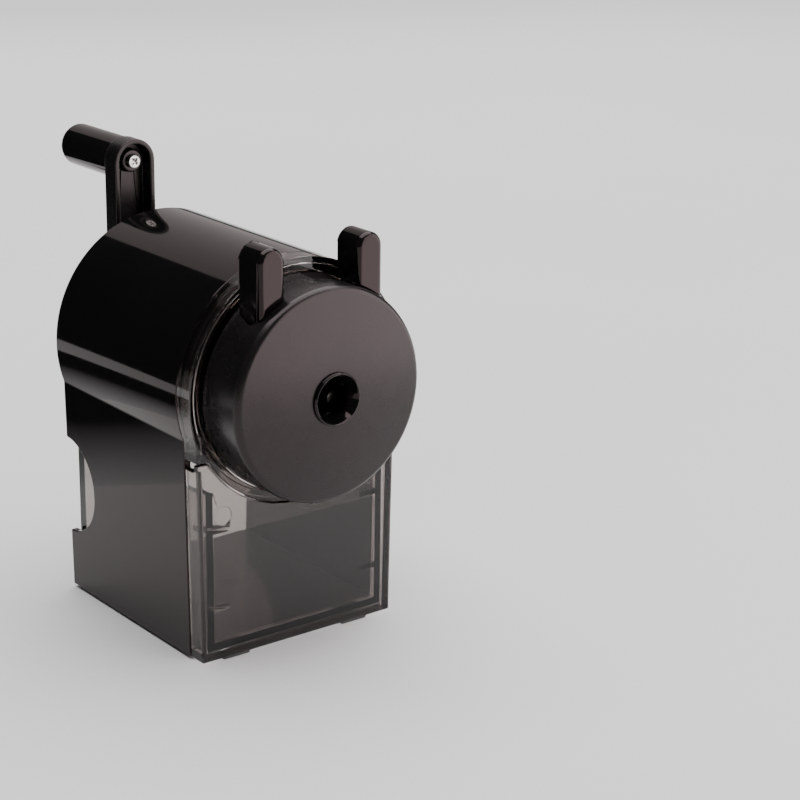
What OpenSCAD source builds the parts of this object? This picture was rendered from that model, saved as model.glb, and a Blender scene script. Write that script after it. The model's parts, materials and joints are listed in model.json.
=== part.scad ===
// Desktop pencil sharpener with a side-opening drum body, a hand crank at the back, a spring-loaded
// front carriage that grips the pencil, and a clear shavings tray that slides out to the front.
// X is the width, Y runs from the pencil entry (-Y) to the crank (+Y), Z is up.

/* [Body] */
// Widest width of the drum
body_w = 65; // [62:0.5:80]
// Width of the body at the table
base_w = 59.4; // [57:0.1:61]
// Width of the body where its sides meet the drum
waist_w = 61.2; // [60.5:0.1:61.5]
// Depth from the front plane to the rear face of the casing
body_d = 65.5; // [63:0.5:80]
// Height of the crank axis above the table
axis_h = 70.5; // [67:0.5:85]
// Wall of the casing
casing_wall = 2; // [1.6:0.1:2.4]
// Thickness of the casing's rear wall
rear_wall = 2.5; // [2:0.1:3.5]
// Distance below the axis at which the rear wall stops
rear_wall_drop = 20.5; // [19:0.5:22]
// Radius of the finger notches in the rear edges
notch_r = 13.4; // [9:0.1:15]
// Height of the finger notches above the table
notch_h = 30.4; // [26:0.1:32]

/* [Base] */
// Thickness of the base plate
base_t = 2; // [1.6:0.1:3]
// How deep the base plate's edges sit in the casing's grooves
base_groove = 1; // [0.6:0.1:1.2]
// How far the feet stand below the base plate
foot_proud = 0.8; // [0.5:0.1:2]
// Width of a foot
foot_w = 8; // [6:0.5:12]
// Depth of a rear foot
foot_d = 6; // [4:0.5:10]
// Depth of a front foot, which reaches forward under the tray's front
foot_front_d = 9; // [7:0.5:12]
// Distance between the centres of the left and right feet
foot_span = 37.5; // [24:0.5:42]

/* [Clear bezel and tray] */
// Depth of the bezel and of the tray's front
bezel_d = 6; // [5:0.5:9]
// Wall of the clear parts
clear_wall = 1.8; // [1.4:0.1:2.2]
// Radial width of the bezel's ring below the drum
bezel_ring = 2.8; // [2.2:0.1:3.2]
// Height of the seam between the bezel and the tray
seam_h = 54.6; // [52:0.2:57]
// Gap around the bezel, the tray and the carriage
clear_gap = 0.4; // [0.3:0.05:0.6]
// Height of the tray's side walls above the table
tray_h = 46; // [30:0.5:47]
// Depth of the tray
tray_d = 65; // [45:0.5:65.5]
// Height of the lower gussets in the tray's front corners
gusset_low = 14; // [10:0.5:20]
// Height of the upper gussets in the tray's front corners
gusset_high = 35; // [26:0.5:40]
// Length of a gusset
gusset_l = 5; // [3:0.5:7]

/* [Front carriage] */
// Radius of the front cup
cup_r = 28; // [26:0.25:28.5]
// How far the cup's rounded rim stands in front of the bezel
cup_reach = 14; // [13:0.5:18]
// How far the cup reaches back through the bezel
cup_back = 2; // [1:0.5:3]
// Wall of the cup
cup_wall = 2; // [1.6:0.1:2.4]
// Radius of the rounding at the cup's rim
cup_round = 2; // [1:0.25:2.4]
// Height of the dome on the cup's face
cup_dome = 2.2; // [1.5:0.1:3]
// Radius of the pencil bore
bore_r = 4.6; // [3.8:0.05:5.6]
// Wall of the entry bush
entry_wall = 1.5; // [1.2:0.1:2]
// Radial width of the entry bush's flange beyond its body
entry_rim = 0.8; // [0.6:0.1:1.5]
// Width of an ear
ear_w = 7.7; // [6:0.1:9]
// Depth of an ear
ear_d = 9; // [7:0.25:9.5]
// Distance of an ear's centre from the middle plane
ear_x = 14.75; // [13:0.25:16]
// Height of the ears above the axis
ear_top = 38.9; // [36:0.1:44]

/* [Jaws] */
// Distance from the cam ring's bore in to the jaws' pivots
jaw_pivot_inset = 5.9; // [5.4:0.1:6.4]
// Distance from the cam ring's edge in to its driving pins
drive_inset = 1.9; // [1.6:0.1:2.4]
// Radius of the jaw pivots and driving pins
jaw_pin_r = 1.2; // [1:0.05:1.4]
// Thickness of a jaw
jaw_t = 3; // [2:0.1:3.2]
// Free radius left between the jaws at rest
grip_r = 3.4; // [3:0.1:4]
// Width of a jaw
jaw_w = 4.4; // [4:0.1:4.6]

/* [Guide rods] */
// Distance of a guide rod's centre inside the cup's outer surface
rod_inset = 8; // [7.5:0.1:8.2]
// Radius of a guide rod
rod_r = 1.5; // [1.2:0.05:1.8]
// Length of a guide rod behind the carriage's plate
rod_l = 50; // [48:0.5:52]
// Radial room between a guide rod and its spring
rod_spring_room = 0.9; // [0.4:0.1:0.9]
// Wire thickness of a rod spring
rod_wire = 0.7; // [0.5:0.1:0.8]
// Thickness of the guide plate
plate_t = 3; // [2.5:0.1:4]
// Distance of the guide plate behind the front plane
plate_y = 11.5; // [11:0.1:12]

/* [Cutter] */
// Radius of the cutter
cutter_r = 6; // [5:0.1:6.2]
// Half-angle of the sharpened point
cone_angle = 9; // [8:0.25:9.5]
// Number of flutes on the cutter
flutes = 16; // [10:1:20]
// Radius of the steel axle in the cutter
axle_r = 1.5; // [1.2:0.05:1.6]
// Number of teeth on the pinion
pinion_teeth = 15; // [13:2:17]
// Number of teeth inside the ring gear
ring_teeth = 29; // [27:2:31]
// Width of the ring gear's teeth
gear_w = 3.6; // [3:0.1:4]

/* [Crank] */
// Distance from the axis to the knob
crank_throw = 43.2; // [34:0.1:55]
// Width of the crank arm
arm_w = 12.5; // [11:0.1:15]
// Depth of the crank arm
arm_t = 5.8; // [5:0.1:8]
// Rim around the arm's channel
arm_rim = 1.4; // [1:0.1:2]
// Back of the arm's channel
arm_web = 1.6; // [1.2:0.1:2.5]
// Gap between the rear cap and the arm's front plane
arm_gap = 8.8; // [6:0.1:14]
// Radius of the arm's hub
hub_r = 7.6; // [6.5:0.1:9]
// Radius of the crank shaft
shaft_r = 3; // [2.5:0.05:3.6]
// Radius of the knob
knob_r = 5.9; // [5:0.1:8]
// Length of the knob
knob_l = 24.9; // [20:0.1:35]
// Gap between the knob and the arm
knob_gap = 0.5; // [0.3:0.1:1]

/* [Fits] */
// Radial clearance of a turning or sliding fit
run_gap = 0.05; // [0.03:0.01:0.08]
// Clearance between pieces that are fixed together
seat_gap = 0.05; // [0.02:0.01:0.1]
// Face-to-face gap beside a moving piece
side_gap = 0.3; // [0.2:0.05:0.4]

/* [Hidden] */
$fn = 96;
eps = 0.01;
past = 1;

// Y stations, measured from the front plane of the bezel
cap_proud = 2.5;
nose_proud = 0.8;
y_rim = -cup_reach;
y_nose = y_rim - cup_dome - nose_proud;
y_cap = body_d + cap_proud;
y_arm = y_cap + arm_gap;
y_arm_back = y_arm + arm_t;
y_knob = y_arm_back + knob_gap;
y_end = y_knob + knob_l;
// The origin is under the middle of the whole object, so everything is moved forwards by half its span
y_origin = -(y_nose + y_end) / 2;

z_base = foot_proud;
drum_r = body_w / 2;
bore_in_r = drum_r - casing_wall;
waist_h = axis_h - sqrt(pow(drum_r, 2) - pow(waist_w / 2, 2));

// Bezel and tray
opening_r = cup_r + clear_gap;
ring_out_r = opening_r + bezel_ring;
tray_arc_r = ring_out_r + clear_gap;
tray_half = base_w / 2 - casing_wall - clear_gap;
tray_floor_z = z_base + base_t + clear_gap;
spigot_d = 4;
lip_d = 5;
rim_drop = 0.2;
pin_mark_r = 2.6;
pin_mark_d = 0.15;
pin_mark_x = tray_half - clear_wall - pin_mark_r - 0.4;
pin_mark_low = 8;
pin_mark_high = gusset_high + 4.3;
gusset_t = 1.2;

// Feet: the front ones reach forward under the tray's front, the rear ones stand near the rear edge
foot_sink = 1;
foot_edge = 1.5;
foot_front_y = 0.8;
foot_rear_y = body_d - 3;
foot_rows = [[foot_front_y, foot_front_y + foot_front_d], [foot_rear_y - foot_d, foot_rear_y]];

// Front carriage
dome_r = (pow(cup_r - cup_round, 2) + pow(cup_dome, 2)) / (2 * cup_dome);
cup_front_extra = 0.4;
cup_face_y = y_rim + cup_wall + cup_front_extra;
cup_in_r = cup_r - cup_wall;
cup_notch_past = 1;
entry_body_r = bore_r + entry_wall;
entry_r = entry_body_r + entry_rim;
entry_front_y = y_rim + 0.2;
entry_back_y = y_rim + 4.8;
entry_lip = 0.7;
entry_edge = 0.4;
plate_disc_t = 3;
jaw_plate_y = -1.8;
hub_front_y = jaw_plate_y - 3.4;
boss_room = 4.4;
cam_w = 4.7;
cam_ring_r = cup_in_r - boss_room;
cam_hub_r = cam_ring_r - cam_w;
cam_t = 3;
drive_r = cam_ring_r - drive_inset;
jaw_pivot_r = cam_hub_r - jaw_pivot_inset;
jaw_boss = 1.9;
jaw_cheek = 1.3;
pivot_head = 1;
pin_root = 0.5;
drive_slot_in = 0.2;
cam_y = jaw_plate_y - 0.2 - cam_t;
jaw_y = hub_front_y - side_gap - jaw_t;
jaw_tail_l = cam_ring_r - jaw_pivot_r;
slot_gap = 0.25;
boss_ring_r = cup_in_r - 1.8;
boss_r = 2.1;
boss_l = 7;
boss_angles = [20, 150, 270];
jaw_angles = [90, 210, 330];
screw_r = 1.1;
screw_head_r = 2.1;
screw_head_t = 1.2;
screw_hole_gap = 0.2;
recess_t = 0.7;
recess_w = 0.5;
jaw_spring_d = 2;
jaw_spring_out_r = cam_hub_r - 0.3;
jaw_spring_in_r = cam_hub_r - 1.7;
ear_front_y = -10.2;
ear_round = 1.5;
leg_w = 6.4;
peg_w = 4.4;
peg_d = 5;
peg_y = -8;
peg_proud = 0.6;
notch_front_y = cam_y - 0.4;
notch_left_x = 1.5;
notch_right_x = ear_x + ear_w / 2 + 0.6;

// Guide plate and rods
plate_back = plate_y + plate_t;
plate_drop = axis_h - tray_h - 1.5;
nose_bore_r = bore_r + 0.2;
nose_r = nose_bore_r + 1.7;
collar_r = nose_r + 2.7;
collar_l = 4.5;
plate_bore_r = bore_r + 0.4;
rod_x = cup_r - rod_inset;
rod_spring_in_r = rod_r + rod_spring_room;
rod_spring_r = rod_spring_in_r + rod_wire;
rod_boss_wall = 1.7;
rod_floor = 1;
spring_seat = 0.1;
bush_wall = 1.5;
bush_r = rod_r + run_gap + bush_wall;
bush_front = plate_y - 1;
bush_back = plate_back + 4;
bush_flange = 1.1;
bush_flange_t = 0.8;
rod_boss_l = 4.8;
rod_end_y = jaw_plate_y + rod_l + 3;
stop_t = 3;
stop_y = rod_end_y - stop_t - 0.5;
stop_r = rod_spring_r + 0.3;
plate_boss_r = 3;
plate_boss_ring = bore_in_r - screw_head_r - 0.3;
plate_boss_l = 9;
screw_tip = 2;
plate_boss_angles = [40, 140, 210, 330];

// Cutter line: the cutter leans so that its side lies along the pencil's cone
point_reach = 62;
tip_y = y_rim + point_reach;
point_flat = 0.35;
tip_offset = cutter_r / cos(cone_angle) + point_flat;
function cutter_offset(y) = tip_offset + (tip_y - y) * tan(cone_angle);
carrier_front_y = plate_back + collar_l + side_gap;
carrier_disc_t = 3;
carrier_stop_room = 2.2;
carrier_disc_r = rod_x - stop_r - carrier_stop_room;
carrier_l = 34.4;
carrier_rear_y = carrier_front_y + carrier_l;
carrier_rear_t = 3.6;
carrier_back_y = carrier_rear_y + carrier_rear_t;
cutter_room = 1.2;
cutter_start_y = carrier_front_y + carrier_disc_t + cutter_room;
cutter_l = 25;
cutter_end_y = cutter_start_y + cutter_l;
pinion_room = 1.6;
pinion_y = cutter_end_y + pinion_room;
pinion_w = 2.4;
axle_reach = 50;
shaft_socket = 10;
gear_y = pinion_y + pinion_w / 2;
gear_offset = cutter_offset(gear_y);
gear_module = 2 * gear_offset / (ring_teeth - pinion_teeth);
pinion_pitch_r = gear_module * pinion_teeth / 2;
ring_pitch_r = gear_module * ring_teeth / 2;
addendum = 0.5;
dedendum = 1.0;
tooth_share = 0.34;
tooth_half = tooth_share * PI * gear_module / 2;
tooth_root = 1.3;
tooth_tip = 0.7;
tooth_sink = 0.5;
ring_gear_rim = 1.4;
ring_gear_r = ring_pitch_r + dedendum + ring_gear_rim;

// The carrier's web passes inside the ring gear's teeth, and the shaft's front end beside the axle
web_t = 4.6;
web_proud = 0.4;
web_half_angle = 62;
web_in_r = bore_r + 1;
web_out_r = min(web_in_r + web_t, ring_pitch_r - addendum - side_gap);
carrier_rear_r = web_out_r + web_proud;
shaft_axle_room = 0.4;
shaft_seat_r = min(shaft_r, cutter_offset(carrier_back_y) - axle_r / cos(cone_angle) - shaft_axle_room);

// Rear cap
cap_wall = 1.3;
cap_flange = 2.8;
gear_stop_t = 2;
grip_hole_d = 1;
cap_tube_r = ring_gear_r + seat_gap + cap_wall;
cap_flange_r = cap_tube_r + cap_flange;
cap_room = 1.2;
cap_inner_y = carrier_back_y + cap_room;
cap_boss_r = 8;
lug_out = 1.8;
lug_t = 1.9;
lug_angle = 24;
lug_angles = [0:120:240];
seat_angles = [60:120:300];
lug_play = 1.5;
grip_hole_r = 2.6;
shaft_bush_r = shaft_r + run_gap + 1.6;
shaft_bush_proud = 0.4;
shaft_start_y = carrier_rear_y + 0.4;
shaft_end_y = y_arm_back - 1.2;

// Crank
spindle_r = 1.5;
spindle_head_r = 1.75;
spindle_head_t = 1.3;
spindle_boss_r = 3.1;
spindle_boss_y = y_arm + 1.6;
nut_r = 2.7;
nut_t = 2;
nut_y = y_end - 6;
cap_plug_r = 4;
cap_plug_t = 1.4;
knob_round = 1.8;
crank_screw_r = 1.4;
crank_screw_head_r = 3.2;
crank_screw_head_t = 1.8;
crank_screw_l = 9;
crank_recess_r = 2.2;
hub_step = 0.5;
spindle_boss_d = 3.8;
spindle_recess_r = 1.1;

// ---- helpers ----

// Moves what is measured from the front plane into the object's own frame
module in_frame() {
    translate([0, y_origin, 0]) children();
}

// Places a copy at each place of the circle of radius r
module around(r, angles) {
    for (a = angles) on_ring(r, a) children();
}

// Extrudes a front-view outline (x, z) backwards from y over the depth d
module slab(y, d) {
    translate([0, y + d, 0]) rotate([90, 0, 0]) linear_extrude(d) children();
}

// Extrudes an outline drawn around the crank axis
module axis_slab(y, d) {
    translate([0, 0, axis_h]) slab(y, d) children();
}

// A round bar along Y at x and at height dz above the axis
module bar(y, d, r, x = 0, dz = 0) {
    translate([x, y, axis_h + dz]) rotate([-90, 0, 0]) cylinder(h = d, r = r);
}

// Spins a profile (radius, y) about the crank axis
module turned() {
    translate([0, 0, axis_h]) rotate([-90, 0, 0]) rotate_extrude() children();
}

// A place on the circle of radius r about the axis, a degrees from +X towards +Z
module on_ring(r, a) {
    translate([r * cos(a), 0, r * sin(a)]) children();
}

// A pie slice in the front view, from angle a0 to a1
module pie(r, a0, a1) {
    steps = 6;
    polygon(concat([[0, 0]], [for (i = [0:steps]) let (a = a0 + (a1 - a0) * i / steps)
        [r * cos(a), r * sin(a)]]));
}

// The body's front outline: a drum on a base whose sides lean out a little, all moved in by inset
module body_outline(inset = 0, bottom = z_base) {
    b = base_w / 2 - inset;
    w = waist_w / 2 - inset;
    translate([0, axis_h]) circle(r = drum_r - inset);
    polygon([[-b, bottom], [b, bottom], [w, waist_h], [w, axis_h], [-w, axis_h], [-w, waist_h]]);
}

// Everything above the height z in a front view
module above(z) {
    translate([-body_w, z]) square([2 * body_w, 2 * body_w]);
}

// ---- housing ----

module casing() {
    inside_d = body_d - rear_wall - bezel_d;
    color("#101010") in_frame() difference() {
        union() {
            difference() {
                slab(bezel_d, body_d - bezel_d) body_outline();
                slab(bezel_d - past, inside_d + past) body_outline(casing_wall, z_base - past);
                slab(bezel_d, body_d) difference() {
                    body_outline(casing_wall, z_base - past);
                    above(axis_h - rear_wall_drop);
                }
            }
            slab(plate_back + seat_gap, plate_boss_l) intersection() {
                body_outline(casing_wall / 2);
                for (a = plate_boss_angles) translate([0, axis_h]) rotate(a) {
                    translate([plate_boss_ring, 0]) circle(r = plate_boss_r);
                    translate([plate_boss_ring, -plate_boss_r]) square([drum_r, 2 * plate_boss_r]);
                }
            }
        }
        // seat and bayonet notches of the rear cap
        bar(body_d - rear_wall - past, rear_wall + 2 * past, cap_tube_r + side_gap);
        axis_slab(body_d - rear_wall - past, rear_wall + 2 * past) for (a = seat_angles)
            intersection() {
                circle(r = cap_tube_r + lug_out + side_gap);
                rotate(a) pie(2 * drum_r, -lug_angle / 2 - lug_play, lug_angle / 2 + lug_play);
            }
        // finger notches in both side walls
        translate([-body_w, body_d, notch_h]) rotate([0, 90, 0]) cylinder(h = 2 * body_w, r = notch_r);
        // grooves for the base plate
        slab(bezel_d - past, body_d + past) base_plate_outline(seat_gap);
        around(plate_boss_ring, plate_boss_angles)
            bar(plate_back, plate_boss_l - screw_tip, screw_r + seat_gap);
    }
}

// The plate with a lip along both sides; the casing's grooves are the same outline grown by a gap
module base_plate_outline(grow = 0) {
    half = base_w / 2 - casing_wall;
    translate([-half - grow, z_base - (grow > 0 ? eps : 0)]) square([2 * (half + grow), base_t]);
    lip_z = z_base + base_t / 2 - grow;
    lip_half = half + base_groove - seat_gap + grow;
    translate([-lip_half, lip_z]) square([2 * lip_half, base_t / 2 + 2 * grow]);
}

module base_plate() {
    color("#1a1a1a") in_frame() difference() {
        slab(bezel_d + seat_gap, body_d - bezel_d - seat_gap) base_plate_outline();
        for (sx = [-1, 1], row = [0, 1]) foot_root(sx, row, seat_gap, past);
    }
}

// The part of a foot that is sunk in the base plate
module foot_root(sx, row, grow = 0, down = 0) {
    front = foot_rows[row][0];
    root = max(front, bezel_d + foot_edge);
    translate([sx * foot_span / 2 - foot_w / 2 - grow, root - grow, -down])
        cube([foot_w + 2 * grow, foot_rows[row][1] - root + 2 * grow, foot_proud + foot_sink + down]);
}

module foot(sx, row) {
    front = foot_rows[row][0];
    color("#262626") in_frame() union() {
        translate([sx * foot_span / 2 - foot_w / 2, front, 0])
            cube([foot_w, foot_rows[row][1] - front, foot_proud]);
        foot_root(sx, row);
    }
}

module foot_front_left() foot(-1, 0);
module foot_front_right() foot(1, 0);
module foot_rear_left() foot(-1, 1);
module foot_rear_right() foot(1, 1);

// The bezel's front outline: the drum above the seam, and a ring around the cup below it
module bezel_outline(inset = 0) {
    intersection() {
        body_outline(inset);
        above(seam_h + clear_gap / 2 + inset);
    }
    translate([0, axis_h]) circle(r = ring_out_r - inset);
}

module bezel() {
    color("#5a5552", 0.5) in_frame() difference() {
        union() {
            slab(0, clear_wall) bezel_outline();
            slab(0, bezel_d - seat_gap) difference() {
                bezel_outline();
                bezel_outline(clear_wall);
            }
            axis_slab(0, lip_d) circle(r = opening_r + clear_wall);
            intersection() {
                axis_slab(clear_wall, bezel_d + spigot_d - clear_wall) difference() {
                    circle(r = bore_in_r - seat_gap);
                    circle(r = bore_in_r - seat_gap - clear_wall);
                }
                slab(0, body_d) above(waist_h + 2);
            }
        }
        axis_slab(-past, body_d) circle(r = opening_r);
    }
}

// The tray's front outline: the body below the seam, cut out around the bezel's ring
module tray_outline(inset = 0) {
    difference() {
        body_outline(inset, z_base + rim_drop + inset);
        above(seam_h - clear_gap / 2 - inset);
        translate([0, axis_h]) circle(r = tray_arc_r + inset);
    }
}

// A triangular rib in the corner between the tray's front and a side wall
module gusset(sx, z) {
    corner = tray_half - clear_wall + eps;
    translate([0, 0, z]) linear_extrude(gusset_t) polygon([
        [sx * corner, clear_wall - eps], [sx * (corner - gusset_l), clear_wall - eps],
        [sx * corner, clear_wall + gusset_l]
    ]);
}

// A shallow round mark on the inner face of the tray's front
module pin_mark(x, z) {
    translate([x, clear_wall - pin_mark_d, z]) rotate([-90, 0, 0]) cylinder(h = past, r = pin_mark_r);
}

module tray() {
    rear_y = tray_d - clear_wall;
    front_y = clear_wall / 2;
    color("#5a5552", 0.5) in_frame() difference() {
        union() {
            slab(0, clear_wall) tray_outline();
            slab(0, bezel_d - clear_gap) difference() {
                tray_outline();
                tray_outline(clear_wall);
                above(seam_h - clear_wall - clear_gap);
                translate([0, axis_h]) circle(r = tray_arc_r + clear_wall + eps);
            }
            translate([-tray_half, front_y, tray_floor_z]) cube([2 * tray_half, tray_d - front_y, clear_wall]);
            for (x = [-tray_half, tray_half - clear_wall]) translate([x, front_y, tray_floor_z])
                cube([clear_wall, tray_d - front_y, tray_h - tray_floor_z]);
            slab(rear_y, clear_wall) difference() {
                translate([-tray_half, tray_floor_z]) square([2 * tray_half, tray_h - tray_floor_z]);
                translate([0, axis_h]) circle(r = tray_arc_r);
            }
            for (sx = [-1, 1], z = [gusset_low, gusset_high]) gusset(sx, z);
        }
        for (sx = [-1, 1], z = [pin_mark_low, pin_mark_high]) pin_mark(sx * pin_mark_x, z);
        pin_mark(0, pin_mark_low);
        translate([0, tray_d / 2, tray_floor_z + clear_wall - pin_mark_d])
            cylinder(h = past, r = pin_mark_r);
    }
}

module guide_plate() {
    color("#202020") in_frame() difference() {
        union() {
            intersection() {
                axis_slab(plate_y, plate_t) circle(r = bore_in_r - side_gap);
                slab(0, body_d) above(axis_h - plate_drop);
            }
            bar(plate_back - eps, collar_l + eps, collar_r);
        }
        bar(plate_y - past, plate_t + 2 * past, nose_bore_r);
        bar(plate_back, collar_l + past, nose_r + run_gap);
        for (sx = [-1, 1]) bar(plate_y - past, plate_t + 2 * past, bush_r + seat_gap, sx * rod_x);
        around(plate_boss_ring, plate_boss_angles)
            bar(plate_y - past, plate_t + 2 * past, screw_r + screw_hole_gap);
    }
}

// A cross recess that is cut from y over the depth d
module cross_recess(y, d, reach) {
    axis_slab(y, d) for (a = [45, 135]) rotate(a) square([2 * reach, recess_w], center = true);
}

module plate_screws() {
    head_y = plate_y - screw_head_t;
    color("#b8b8b8") in_frame() around(plate_boss_ring, plate_boss_angles) difference() {
        union() {
            bar(head_y, screw_head_t, screw_head_r);
            bar(plate_y - eps, plate_t + plate_boss_l - screw_tip - past, screw_r);
        }
        cross_recess(head_y - eps, recess_t, screw_r);
    }
}

module rod_bush(sx) {
    color("#b08a45") in_frame() difference() {
        union() {
            bar(bush_front, bush_back - bush_front, bush_r, sx * rod_x);
            bar(plate_back + seat_gap, bush_flange_t, bush_r + bush_flange, sx * rod_x);
        }
        bar(bush_front - past, bush_back - bush_front + 2 * past, rod_r + run_gap, sx * rod_x);
    }
}

module rod_bush_left() rod_bush(-1);
module rod_bush_right() rod_bush(1);

module rear_cap() {
    flange_round = 0.8;
    color("#181818") in_frame() difference() {
        union() {
            turned() polygon([
                [0, cap_inner_y], [cap_boss_r + 1, cap_inner_y],
                [cap_boss_r + 1, body_d - rear_wall], [cap_tube_r, body_d - rear_wall],
                [cap_tube_r, body_d + seat_gap], [cap_flange_r, body_d + seat_gap],
                [cap_flange_r, y_cap - flange_round], [cap_flange_r - flange_round, y_cap], [0, y_cap]
            ]);
            axis_slab(gear_y - gear_w / 2, body_d - gear_y + gear_w / 2) difference() {
                circle(r = cap_tube_r);
                circle(r = ring_gear_r + seat_gap);
            }
            axis_slab(body_d - rear_wall - side_gap - lug_t, lug_t) for (a = lug_angles) difference() {
                intersection() {
                    circle(r = cap_tube_r + lug_out);
                    rotate(a) pie(2 * drum_r, -lug_angle / 2, lug_angle / 2);
                }
                circle(r = cap_tube_r - cap_wall / 2);
            }
            axis_slab(gear_y + gear_w / 2 + seat_gap, gear_stop_t) difference() {
                circle(r = cap_tube_r - eps);
                circle(r = ring_pitch_r + dedendum);
            }
        }
        bar(cap_inner_y - past, y_cap, shaft_bush_r + seat_gap);
        // finger hollows that turn the cap
        for (sx = [-1, 1])
            bar(y_cap - grip_hole_d, 2 * grip_hole_d, grip_hole_r, sx * (cap_flange_r - 2 * grip_hole_r));
    }
}

// Ring of gear teeth around the origin: straight-sided teeth between two radii
module teeth(count, r_in, r_out, half_in, half_out) {
    for (i = [0:count - 1]) rotate(i * 360 / count)
        polygon([[r_in, -half_in], [r_out, -half_out], [r_out, half_out], [r_in, half_in]]);
}

module ring_gear() {
    color("#8c8c88") in_frame() axis_slab(gear_y - gear_w / 2, gear_w) {
        difference() {
            circle(r = ring_gear_r);
            circle(r = ring_pitch_r + dedendum);
        }
        // a tooth gap points at the pinion, straight down
        rotate(-90 + 180 / ring_teeth)
            teeth(ring_teeth, ring_pitch_r - addendum, ring_pitch_r + dedendum + tooth_sink,
                tooth_half * tooth_tip, tooth_half * tooth_root);
    }
}

module shaft_bush() {
    color("#b08a45") in_frame() difference() {
        bar(cap_inner_y, y_cap - cap_inner_y + shaft_bush_proud, shaft_bush_r);
        bar(cap_inner_y - past, y_cap, shaft_r + run_gap);
    }
}

// ---- front carriage ----

module cup_profile() {
    difference() {
        union() {
            translate([0, y_rim + cup_round]) square([cup_r, cup_back - y_rim - cup_round]);
            translate([0, y_rim]) square([cup_r - cup_round, cup_round + eps]);
            translate([cup_r - cup_round, y_rim + cup_round]) circle(r = cup_round);
            intersection() {
                translate([0, y_rim - cup_dome + dome_r]) circle(r = dome_r, $fn = 360);
                translate([0, y_rim - cup_dome]) square([cup_r - cup_round, cup_dome + 1]);
            }
        }
        translate([-2 * cup_r, -2 * cup_r]) square([2 * cup_r, 4 * cup_r]);
    }
}

module cup() {
    color("#1c1c1c") in_frame() difference() {
        union() {
            difference() {
                turned() cup_profile();
                bar(cup_face_y, cup_back - cup_face_y + past, cup_in_r);
            }
            intersection() {
                around(boss_ring_r, boss_angles)
                    bar(cup_face_y - eps, jaw_plate_y - seat_gap - cup_face_y + eps, boss_r);
                bar(y_rim, 2 * cup_reach, cup_r - cup_wall / 2);
            }
        }
        bar(y_nose - past, cup_reach + 2, entry_body_r + seat_gap);
        around(boss_ring_r, boss_angles) bar(jaw_plate_y - boss_l, boss_l + past, screw_r + seat_gap);
        // notch in which the moving ear swings
        axis_slab(notch_front_y, cup_back - notch_front_y + past) intersection() {
            difference() {
                circle(r = cup_r + cup_notch_past);
                circle(r = cup_in_r - cup_notch_past);
            }
            translate([notch_left_x, 0]) square([notch_right_x - notch_left_x, 2 * cup_r]);
        }
        fixed_ear_peg(seat_gap);
    }
}

module entry_bush() {
    mouth_r = entry_r - entry_lip;
    color("#0c0c0c") in_frame() turned() polygon([
        [bore_r, entry_front_y], [mouth_r, y_nose + entry_edge], [mouth_r + 0.2, y_nose],
        [entry_r - entry_edge, y_nose], [entry_r, y_nose + entry_edge], [entry_r, y_nose + nose_proud],
        [entry_body_r, y_nose + nose_proud], [entry_body_r, entry_back_y], [bore_r, entry_back_y]
    ]);
}

// An upright tab with a rounded top and rounded front edges; its foot follows the cup
module ear_block(foot_r) {
    half = ear_w / 2;
    centre_h = ear_top - half;
    difference() {
        union() {
            // the shank, with its front corners rounded in plan
            translate([0, 0, axis_h]) linear_extrude(centre_h) union() {
                for (sx = [-1, 1]) translate([ear_x + sx * (half - ear_round), ear_front_y + ear_round])
                    circle(r = ear_round);
                translate([ear_x - half, ear_front_y + ear_round]) square([ear_w, ear_d - ear_round]);
                translate([ear_x - half + ear_round, ear_front_y]) square([ear_w - 2 * ear_round, ear_d]);
            }
            // the round head, with the same rounding all along its front edge
            intersection() {
                translate([ear_x, 0, centre_h]) turned() union() {
                    translate([half - ear_round, ear_front_y + ear_round]) circle(r = ear_round);
                    translate([0, ear_front_y + ear_round]) square([half, ear_d - ear_round]);
                    translate([0, ear_front_y]) square([half - ear_round, ear_d]);
                }
                slab(ear_front_y - past, ear_d + 2 * past) above(axis_h + centre_h - eps);
            }
        }
        bar(ear_front_y - past, ear_d + 2 * past, foot_r);
    }
}

// The square peg that holds the fixed ear in the cup's side
module fixed_ear_peg(grow) {
    axis_slab(peg_y - grow, peg_d + 2 * grow) translate([-ear_x - peg_w / 2 - grow, 0])
        square([peg_w + 2 * grow, cup_r + peg_proud]);
}

module fixed_ear() {
    color("#0c0c0c") in_frame() union() {
        mirror([1, 0, 0]) ear_block(cup_r + seat_gap);
        difference() {
            fixed_ear_peg(0);
            bar(peg_y - past, peg_d + 2 * past, cup_in_r - peg_proud);
        }
    }
}

module jaw_plate() {
    through = jaw_plate_y + plate_disc_t + rod_boss_l - hub_front_y + 2 * past;
    color("#242424") in_frame() difference() {
        union() {
            bar(jaw_plate_y, plate_disc_t, cup_in_r - screw_hole_gap);
            bar(hub_front_y, jaw_plate_y - hub_front_y + eps, cam_hub_r);
            for (sx = [-1, 1]) bar(jaw_plate_y, plate_disc_t + rod_boss_l, rod_r + rod_boss_wall, sx * rod_x);
        }
        bar(hub_front_y - past, through, plate_bore_r);
        around(jaw_pivot_r, jaw_angles) bar(hub_front_y - past, through, jaw_pin_r + seat_gap);
        around(boss_ring_r, boss_angles) bar(jaw_plate_y - past, through, screw_r + screw_hole_gap);
        for (sx = [-1, 1]) bar(jaw_plate_y + rod_floor, through, rod_r + seat_gap, sx * rod_x);
    }
}

// Shoulder screws on which the jaws turn
module jaw_pivots() {
    head_y = jaw_y - side_gap - screw_head_t;
    color("#b8b8b8") in_frame() around(jaw_pivot_r, jaw_angles) difference() {
        union() {
            bar(head_y, screw_head_t, jaw_pin_r + pivot_head);
            bar(jaw_y - side_gap - eps, jaw_plate_y + plate_disc_t - jaw_y + side_gap, jaw_pin_r);
        }
        cross_recess(head_y - eps, recess_t, jaw_pin_r);
    }
}

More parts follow.
